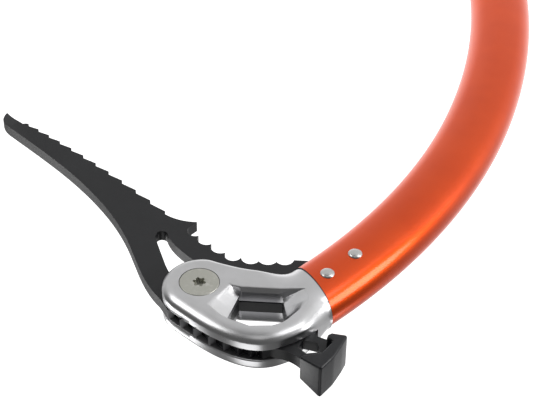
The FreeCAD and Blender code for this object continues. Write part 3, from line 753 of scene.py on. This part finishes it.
def makeGrip():
    s = gripSleeve
    rows, around = s["rows"], s["around"]
    points = []
    faces = []
    for j in range(rows + 1):
        w = s["low"] + (s["high"] - s["low"]) * j / rows
        for i in range(around):
            u, y, out = gripPoint(s, i / around, w)
            x, z = fromHandle(u, w)
            points.append((x, y, z))
    coreU, coreY = s["core"]
    for w in (s["low"], s["high"]):  # the core's room right through the sleeve
        for i in range(around):
            phi = 2 * math.pi * i / around
            c, d = math.cos(phi), math.sin(phi)
            reach = min(coreU / max(abs(c), 1e-6), coreY / max(abs(d), 1e-6))
            x, z = fromHandle(c * reach * s["coreOver"], w)
            points.append((x, d * reach * s["coreOver"], z))
    for j in range(rows):
        faces += bandFaces(j * around, (j + 1) * around, around)
    top, low, high = rows * around, (rows + 1) * around, (rows + 2) * around
    for i in range(around):
        k = (i + 1) % around
        faces.append((i, k, low + k, low + i))
        faces.append((top + i, top + k, high + k, high + i))
        faces.append((low + i, low + k, high + k, high + i))
    grip = meshObject("gripSleeve", points, faces, 38)
    bay = s["bayHalf"]
    cutAway(grip, leanedBox("forkRoom", -20, 20, -s["forkHalf"], s["forkHalf"], s["forkFrom"], 60))
    cutAway(grip, leanedBox("triggerRoom", s["bayDepth"], 30, -bay, bay, s["triggerBay"], 62))
    cutAway(grip, leanedBox("restRoom", s["bayDepth"], 30, -bay, bay, -60, s["restBay"]), 38)
    return grip


# repeats are made with geometry nodes

class NodeGroup:
    def __init__(self, name, inputs):
        self.tree = bpy.data.node_groups.new(name, "GeometryNodeTree")
        face = self.tree.interface
        face.new_socket("Geometry", in_out="INPUT", socket_type="NodeSocketGeometry")
        self.sockets = {}
        for label, kind, value in inputs:
            socket = face.new_socket(label, in_out="INPUT", socket_type=kind)
            if value is not None:
                socket.default_value = value
            self.sockets[label] = socket.identifier
        face.new_socket("Geometry", in_out="OUTPUT", socket_type="NodeSocketGeometry")
        self.entry = self.tree.nodes.new("NodeGroupInput")
        self.exit = self.tree.nodes.new("NodeGroupOutput")

    def add(self, kind, settings=None, sockets=None):
        node = self.tree.nodes.new(kind)
        for key, value in (settings or {}).items():
            setattr(node, key, value)
        for key, value in (sockets or {}).items():
            for one in (value if isinstance(value, list) else [value]):
                if isinstance(one, bpy.types.NodeSocket):
                    self.tree.links.new(one, node.inputs[key])
                else:
                    node.inputs[key].default_value = one
        return node.outputs[0]

    def given(self, label):
        return self.entry.outputs[label]

    def finish(self, geometry):
        realised = self.add("GeometryNodeRealizeInstances", sockets={"Geometry": geometry})
        coloured = self.add("GeometryNodeSetMaterial",
                            sockets={"Geometry": realised, "Material": self.given("Material")})
        self.tree.links.new(coloured, self.exit.inputs["Geometry"])

    def build(self, name, spots, turns, values):  # the group on a mesh of points, made plain
        mesh = bpy.data.meshes.new(name)
        mesh.from_pydata([tuple(c / 1000.0 for c in p) for p in spots], [], [])
        if turns is not None:
            attribute = mesh.attributes.new("turn", "FLOAT_VECTOR", "POINT")
            attribute.data.foreach_set("vector", [c for t in turns for c in t])
        piece = bpy.data.objects.new(name, mesh)
        scene.collection.objects.link(piece)
        modifier = piece.modifiers.new("repeat", "NODES")
        modifier.node_group = self.tree
        for label, value in values.items():
            modifier[self.sockets[label]] = value
        return settle(piece)


def rivetGroup():  # two domed heads and a shank, through the shaft
    g = NodeGroup("domedRivet", [
        ("Head radius", "NodeSocketFloat", 0.0034), ("Dome height", "NodeSocketFloat", 0.0013),
        ("Shank radius", "NodeSocketFloat", 0.0016), ("Seat", "NodeSocketFloat", 0.0113),
        ("Material", "NodeSocketMaterial", None)])
    radius, seat = g.given("Head radius"), g.given("Seat")
    lying = (math.pi / 2, 0, 0)
    ball = g.add("GeometryNodeMeshUVSphere", sockets={"Segments": 48, "Rings": 24, "Radius": 1.0})
    size = g.add("ShaderNodeCombineXYZ", sockets={"X": radius, "Y": g.given("Dome height"), "Z": radius})
    laid = g.add("GeometryNodeTransform", sockets={"Geometry": ball, "Rotation": lying})
    dome = g.add("GeometryNodeTransform", sockets={"Geometry": laid, "Scale": size})
    away = g.add("ShaderNodeMath", {"operation": "MULTIPLY"}, {0: seat, 1: -1.0})
    ends = []
    for y in (away, seat):
        spot = g.add("ShaderNodeCombineXYZ", sockets={"Y": y})
        ends.append(g.add("GeometryNodeTransform", sockets={"Geometry": dome, "Translation": spot}))
    length = g.add("ShaderNodeMath", {"operation": "MULTIPLY"}, {0: seat, 1: 2.0})
    shank = g.add("GeometryNodeMeshCylinder", sockets={
        "Vertices": 24, "Radius": g.given("Shank radius"), "Depth": length})
    shank = g.add("GeometryNodeTransform", sockets={"Geometry": shank, "Rotation": lying})
    rivet = g.add("GeometryNodeJoinGeometry", sockets={"Geometry": [*ends, shank]})
    placed = g.add("GeometryNodeInstanceOnPoints", sockets={
        "Points": g.given("Geometry"), "Instance": rivet})
    g.finish(g.add("GeometryNodeSetShadeSmooth", sockets={"Geometry": placed}))
    return g


shaftRivets = {"headAt": (-124.2, -121.05), "headAcross": -1.4, "lugAt": (-79.6, -78.0)}


def rivetSpots(headings, across):
    spots = []
    for h in headings:
        x, z = shaftCentre(h) + pointing(h + 90) * across
        spots.append((x, 0.0, z))
    return spots


gripStuds = {
    "wide": 0.95, "long": 1.75, "stand": 0.42, "pitchUp": 3.4, "pitchRound": 0.0335,
    # each field's shares of the way round, and its heights
    "fields": [((0.17, 0.36), (-40.0, 40.0)), ((0.64, 0.83), (-40.0, 40.0)), ((0.42, 0.58), (-36.0, 46.0))],
}


def studGroup():
    g = NodeGroup("gripStud", [
        ("Wide", "NodeSocketFloat", 0.001), ("Long", "NodeSocketFloat", 0.0018),
        ("Stand", "NodeSocketFloat", 0.0005), ("Material", "NodeSocketMaterial", None)])
    stud = g.add("GeometryNodeMeshCone", sockets={
        "Vertices": 6, "Radius Top": 0.72, "Radius Bottom": 1.0, "Depth": 2.0})
    stud = g.add("GeometryNodeTransform", sockets={"Geometry": stud, "Translation": (0, 0, -1.0)})
    size = g.add("ShaderNodeCombineXYZ", sockets={
        "X": g.given("Long"), "Y": g.given("Wide"), "Z": g.given("Stand")})
    turn = g.add("GeometryNodeInputNamedAttribute", {"data_type": "FLOAT_VECTOR"}, {"Name": "turn"})
    g.finish(g.add("GeometryNodeInstanceOnPoints", sockets={
        "Points": g.given("Geometry"), "Instance": stud, "Rotation": turn, "Scale": size}))
    return g


def studPlaces():
    s, sleeve = gripStuds, gripSleeve
    spots = []
    turns = []
    for (around0, around1), (w0, w1) in s["fields"]:
        rows = int((w1 - w0) / s["pitchUp"])
        for j in range(rows + 1):
            w = w0 + j * s["pitchUp"]
            columns = int((around1 - around0) / s["pitchRound"])
            for i in range(columns + 1):
                a = around0 + (i + 0.5 * (j % 2)) * s["pitchRound"]
                if a > around1:
                    continue
                u, y, out = gripPoint(sleeve, a, w)
                x, z = fromHandle(u, w)
                spots.append((x, y, z))
                outX, outZ = fromHandle(out[0], 0)
                upX, upZ = fromHandle(0, 1)
                way = Vector((outX, out[1], outZ)).normalized()
                up = Vector((upX, 0, upZ))
                side = up.cross(way).normalized()
                up = way.cross(side)
                turns.append(tuple(Matrix((side, up, way)).transposed().to_euler()))
    return spots, turns


# finishes

def silverForging():
    f = Finish("silverForging", {"Metallic": 1.0})
    side = abs(f.axis(f.facing, 1))
    flat = side.between(0.93, 0.995)  # the flats stay satin, the rounded edges are polished
    grain = f.noise(2600.0, 4.0)
    cloud = f.noise(90.0, 2.0)
    # inside the eye, the walls that face sideways get painted shade: a much darker base colour for the
    # shade in that recess, and a little more roughness
    eyeX, eyeZ = (f.axis(f.place, 0) - 0.0345) / 0.0155, (f.axis(f.place, 2) - 0.4285) / 0.0130
    shadedEyeWalls = (1.0 - (eyeX * eyeX + eyeZ * eyeZ).between(0.9, 1.25)) * (1.0 - side.between(0.15, 0.6))
    f.join(0.24 + 0.07 * flat + 0.06 * grain + 0.04 * cloud + 0.10 * shadedEyeWalls, "Roughness")
    skin = cloud.between(0.3, 0.7).fade(rgb(0.60, 0.60, 0.605), rgb(0.65, 0.65, 0.66))
    # base colour: random forging skin, with painted shade on the eye's walls
    f.join(shadedEyeWalls.fade(skin, rgb(0.25, 0.25, 0.26)), "Base Color")
    f.bump(grain * flat, 0.10, 0.0002)
    return f.material


def blackCoating(name, low, high, roughness, paintedToothHighlight=False):
    f = Finish(name, {"Metallic": 0.0, "IOR": 1.5, "Specular IOR Level": 0.4})
    grain = f.noise(3400.0, 3.0)
    cloud = f.noise(60.0, 3.0)
    coat = cloud.between(0.3, 0.75).fade(rgb(*low), rgb(*high))
    if paintedToothHighlight:  # the steep faces of the teeth between the cheeks get a painted highlight: a light grey colour and some metallic, standing in for the reflection those faces catch
        steep = (0.0 - f.axis(f.facing, 0)).between(0.25, 0.45) * f.axis(f.place, 2).between(0.4300, 0.4306)
        steep = steep * f.axis(f.place, 0).between(0.036, 0.062)
        coat = steep.fade(coat, rgb(0.60, 0.60, 0.61))
        f.join(steep * 0.35, "Metallic")
    f.join(coat, "Base Color")
    f.join(roughness + 0.10 * grain + 0.06 * cloud, "Roughness")
    f.bump(grain, 0.18, 0.0002)
    return f.material


def orangeAnodising():
    f = Finish("orangeAnodising", {
        "Metallic": 0.95, "Coat Weight": 0.50, "Coat Roughness": 0.15, "Coat IOR": 1.5})
    grain = f.noise(3000.0, 3.0)
    cloud = f.noise(40.0, 2.0)
    drawn = f.noise(420.0, 2.0, (1.0, 6.0, 0.35))
    f.join(cloud.between(0.25, 0.75).fade(rgb(0.72, 0.068, 0.003), rgb(0.78, 0.080, 0.005)), "Base Color")
    f.join(0.34 + 0.05 * grain + 0.05 * drawn, "Roughness")
    f.bump(grain * 0.6 + drawn * 0.4, 0.06, 0.0002)
    return f.material


def zincPlate():
    f = Finish("zincPlate", {"Metallic": 1.0})
    cloud = f.noise(900.0, 4.0)
    worn = f.noise(260.0, 5.0, roughness=0.65).between(0.48, 0.72)
    f.join(worn.fade(rgb(0.50, 0.50, 0.45), rgb(0.62, 0.61, 0.57)), "Base Color")
    f.join(0.30 + 0.18 * cloud, "Roughness")
    f.bump(cloud, 0.12, 0.0002)
    return f.material


def plainSteel():
    f = Finish("plainSteel", {"Metallic": 1.0})
    grain = f.noise(1800.0, 3.0)
    f.join(grain.fade(rgb(0.55, 0.55, 0.54), rgb(0.66, 0.66, 0.65)), "Base Color")
    f.join(0.24 + 0.12 * grain, "Roughness")
    f.bump(grain, 0.08, 0.0002)
    return f.material


def machinedAlloy():
    f = Finish("machinedAlloy", {"Metallic": 1.0})
    milled = f.node("ShaderNodeTexWave", {"bands_direction": "Z"}, {"Vector": f.place, "Scale": 700.0,
                                                                    "Distortion": 1.5, "Detail": 2.0}, 1)
    cloud = f.noise(200.0, 3.0)
    f.join(cloud.fade(rgb(0.60, 0.61, 0.63), rgb(0.70, 0.71, 0.73)), "Base Color")
    f.join(0.26 + 0.10 * milled + 0.08 * cloud, "Roughness")
    f.bump(milled, 0.10, 0.0002)
    return f.material


def greyAnodising():
    f = Finish("greyAnodising", {"Metallic": 0.8})
    grain = f.noise(3000.0, 3.0)
    cloud = f.noise(70.0, 3.0)
    f.join(cloud.fade(rgb(0.07, 0.073, 0.08), rgb(0.10, 0.104, 0.115)), "Base Color")
    f.join(0.34 + 0.12 * grain, "Roughness")
    f.bump(grain, 0.10, 0.0002)
    return f.material


def gripRubber():
    f = Finish("gripRubber", {"Metallic": 0.0, "IOR": 1.5})
    grain = f.noise(2400.0, 5.0, roughness=0.6)
    cloud = f.noise(50.0, 3.0)
    f.join(cloud.fade(rgb(0.017, 0.017, 0.018), rgb(0.030, 0.030, 0.032)), "Base Color")
    f.join(0.58 + 0.16 * grain, "Roughness")
    f.bump(grain, 0.35, 0.0003)
    return f.material


def mouldedPlastic():
    f = Finish("mouldedPlastic", {"Metallic": 0.0, "IOR": 1.5})
    spark = f.node("ShaderNodeTexVoronoi", {}, {"Vector": f.place, "Scale": 2200.0})
    cloud = f.noise(55.0, 3.0)
    f.join(cloud.fade(rgb(0.018, 0.018, 0.020), rgb(0.028, 0.028, 0.031)), "Base Color")
    f.join(0.40 + 0.14 * spark + 0.05 * cloud, "Roughness")
    f.bump(spark, 0.22, 0.0002)
    return f.material


def blackRubber():
    f = Finish("blackRubber", {"Metallic": 0.0})
    grain = f.noise(2000.0, 4.0)
    f.join(grain.fade(rgb(0.010, 0.010, 0.010), rgb(0.020, 0.020, 0.021)), "Base Color")
    f.join(0.55 + 0.2 * grain, "Roughness")
    f.bump(grain, 0.2, 0.0002)
    return f.material


def spikeSteel():
    f = Finish("spikeSteel", {"Metallic": 1.0})
    ground = f.noise(900.0, 3.0, (0.25, 3.0, 2.0))
    cloud = f.noise(120.0, 3.0)
    f.join(cloud.fade(rgb(0.46, 0.46, 0.47), rgb(0.60, 0.60, 0.61)), "Base Color")
    f.join(0.25 + 0.16 * ground + 0.06 * cloud, "Roughness")
    f.bump(ground, 0.14, 0.0002)
    return f.material


finishes = {
    "forged_alloy": silverForging(),
    # the pick's coating carries a painted highlight on the steep faces of its teeth
    "black_steel": blackCoating(
        "blackCoating", (0.007, 0.0074, 0.0088), (0.011, 0.0115, 0.0135), 0.36, paintedToothHighlight=True),
    "hammer_steel": blackCoating("hammerCoating", (0.012, 0.0125, 0.015), (0.018, 0.0185, 0.022), 0.27),
    "plain_steel": plainSteel(), "zinc_steel": zincPlate(), "black_rubber": blackRubber(),
    "orange_anodised": orangeAnodising(), "machined_alloy": machinedAlloy(),
    "black_plastic": mouldedPlastic(), "grey_alloy": greyAnodising(), "grip_rubber": gripRubber(),
    "spike_steel": spikeSteel(),
}
print("finishes ready:", len(finishes))


# which body each CAD node is on, and which finish it takes

slotOf = {part["node"]: part["material_slot"] for part in frame["record"]["subparts"]}
bodyOf = {name: body for body, names in frame["record"]["behaviour"]["bodies"].items() for name in names}


def wear(piece, slot):
    piece.data.materials.clear()
    piece.data.materials.append(finishes[slot])
    for polygon in piece.data.polygons:
        polygon.material_index = 0


def standsFor(piece, *names):
    wear(piece, slotOf[names[0]])
    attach(piece, bodyOf[names[0]])
    for name in names:
        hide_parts(name)
    print("made", piece.name, len(piece.data.polygons), "faces")


for name, node in nodes.items():
    wear(node, slotOf[name])

headStub = {"inset": 1.75, "thick": 6.0, "past": 0.05, "long": 46.0, "rows": 24, "around": 64}


def withStub(head):  # the stub goes down inside the tube
    s = headStub
    past = shaftLine["gasket"] + s["past"]
    bottom = shaftLine["topHeading"] + math.degrees(s["long"] / shaftLine["radii"][0])
    stub = sweptTube("headStub", s["inset"], s["thick"], past, bottom, s["rows"], s["around"])
    parts = bmesh.new()
    parts.from_mesh(head.data)
    parts.from_mesh(stub.data)
    parts.to_mesh(head.data)
    parts.free()
    bpy.data.objects.remove(stub)
    soften(head.data, 38)
    return head


standsFor(withStub(makeHead()), "head")
standsFor(sweptTube("shaftTube", 0.0, shaftLine["wall"], 0.0, shaftLine["tubeEnd"], 150, 96), "shaft_tube")

# CAD node: name, width of the rounding, segments
easedPieces = {
    "pick_bolt": ("pickBolt", 0.18, 2), "pick_nut": ("pickNut", 0.18, 2), "shaft_lug": ("shaftLug", 0.5, 2),
    "lock_bolt": ("lockBolt", 0.2, 2), "lock_nut": ("lockNut", 0.25, 2),
    "handle_core": ("handleCore", 0.6, 3), "pivot_bolt": ("pivotBolt", 0.25, 2),
    "pivot_nut": ("pivotNut", 0.25, 2), "trigger": ("fingerTrigger", 1.1, 4),
    "finger_rest": ("fingerRest", 1.3, 4), "pommel": ("pommelCap", 1.4, 4), "spike": ("spikePlate", 0.5, 2),
}
for nodeName, (name, width, segments) in easedPieces.items():
    standsFor(eased(nodeName, name, width, segments), nodeName)
standsFor(eased("pick", "pickPlate", 0.28, cutFirst=cutTeeth), "pick")
standsFor(makeHammer(), "hammer")
standsFor(makeGrip(), "handle_rubber")

spots, turns = studPlaces()
studs = studGroup().build("gripStuds", spots, turns, {
    "Wide": gripStuds["wide"] / 1000, "Long": gripStuds["long"] / 1000, "Stand": gripStuds["stand"] / 1000,
    "Material": finishes["grip_rubber"]})
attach(studs, "handle")
print("made gripStuds", len(spots), "studs")

rivets = rivetGroup()
for nodeName, name, spots in (
        ("head_rivets", "headRivets", rivetSpots(shaftRivets["headAt"], shaftRivets["headAcross"])),
        ("lug_rivets", "lugRivets", rivetSpots(shaftRivets["lugAt"], 0.0))):
    standsFor(rivets.build(name, spots, None, {"Material": finishes["plain_steel"]}), nodeName)


# floor, lights and camera

studio = {
    "floorSize": 6.0, "floorGap": 0.001, "world": 0.13, "middle": (0.04, 0.0, 0.38),
    # the painted pool of light on the floor behind the object, made by the floor's own glow: its middle,
    # where it ends, and how bright the glow is past it
    "pool": (0.08, 0.36), "poolNear": 0.36, "poolFar": 0.60, "poolDim": 0.34,
    # name, width, direction from the middle, distance, brightness
    "lights": [("frontRight", 0.65, (0.62, -0.78, 0.08), 1.35, 2.8),
               ("frontLeft", 0.60, (-0.50, -0.85, -0.10), 1.35, 2.8),
               ("front", 0.7, (-0.04, -0.97, 0.24), 1.5, 0.6),
               ("left", 0.55, (-0.90, -0.42, -0.05), 1.2, 7.5),
               ("backTop", 0.9, (0.12, 0.64, 0.76), 1.4, 1.5),
               ("rightBack", 0.50, (0.77, 0.64, 0.07), 1.3, 5.0),
               ("leftBack", 0.50, (-0.76, 0.64, 0.08), 1.3, 2.2)],
}


def floorWithGlowPool():
    # a pale floor that glows: a painted pool of light behind the object, and a dimmer glow past it
    f = Finish("glowingPaleFloor", {"Roughness": 0.9, "Emission Strength": 1.0})
    pale = f.noise(3.0, 2.0)
    f.join(pale.fade(rgb(0.74, 0.74, 0.74), rgb(0.78, 0.78, 0.78)), "Base Color")
    poolX = f.axis(f.place, 0) - studio["pool"][0]
    poolY = f.axis(f.place, 1) - studio["pool"][1]
    away = ((poolX * poolX + poolY * poolY) ** 0.5).between(studio["poolNear"], studio["poolFar"])
    # painted light: the floor's glow, full in the pool and dimmer past it
    f.join(away.fade(rgb(1.0, 1.0, 1.0), rgb(*[studio["poolDim"]] * 3)), "Emission Color")
    return f.material


half = studio["floorSize"] / 2
level = cadBox[0][2] - studio["floorGap"]
corners = [(-half, -half, level), (half, -half, level), (half, half, level), (-half, half, level)]
floorMesh = bpy.data.meshes.new("floor")
floorMesh.from_pydata(corners, [], [(0, 1, 2, 3)])
floor = bpy.data.objects.new("floor", floorMesh)
scene.collection.objects.link(floor)
floor.data.materials.append(floorWithGlowPool())

world = bpy.data.worlds.new("studioWorld")
world.use_nodes = True
world.node_tree.nodes["Background"].inputs["Color"].default_value = rgb(1, 1, 1)
world.node_tree.nodes["Background"].inputs["Strength"].default_value = studio["world"]
scene.world = world

middle = Vector(studio["middle"])
for name, width, direction, distance, brightness in studio["lights"]:
    lamp = bpy.data.lights.new(name, "AREA")
    lamp.shape = "DISK"
    lamp.size = width
    lamp.energy = brightness * math.pi * math.pi * (width / 2) ** 2
    light = bpy.data.objects.new(name, lamp)
    light.location = middle + Vector(direction).normalized() * distance
    light.rotation_euler = (middle - light.location).to_track_quat("-Z", "Y").to_euler()
    scene.collection.objects.link(light)

viewpoint = {
    "at": (-0.0704, -0.5178, 0.9499), "lens": 110.63, "sensor": 36.0, "clip": 0.01,
    "right": (-0.9793, -0.0134, -0.2018), "forward": (0.1462, 0.6428, -0.7520),
}
camera = bpy.data.objects.new("camera", bpy.data.cameras.new("camera"))
forward = Vector(viewpoint["forward"]).normalized()
up = Vector(viewpoint["right"]).normalized().cross(forward).normalized()
right = forward.cross(up).normalized()
facing = Matrix((right, up, -forward)).transposed().to_4x4()
camera.matrix_world = Matrix.Translation(viewpoint["at"]) @ facing
camera.data.lens = viewpoint["lens"]
camera.data.sensor_width = viewpoint["sensor"]
camera.data.clip_start = viewpoint["clip"]
scene.collection.objects.link(camera)
scene.camera = camera
scene.view_settings.view_transform = "Standard"
print("stage ready")
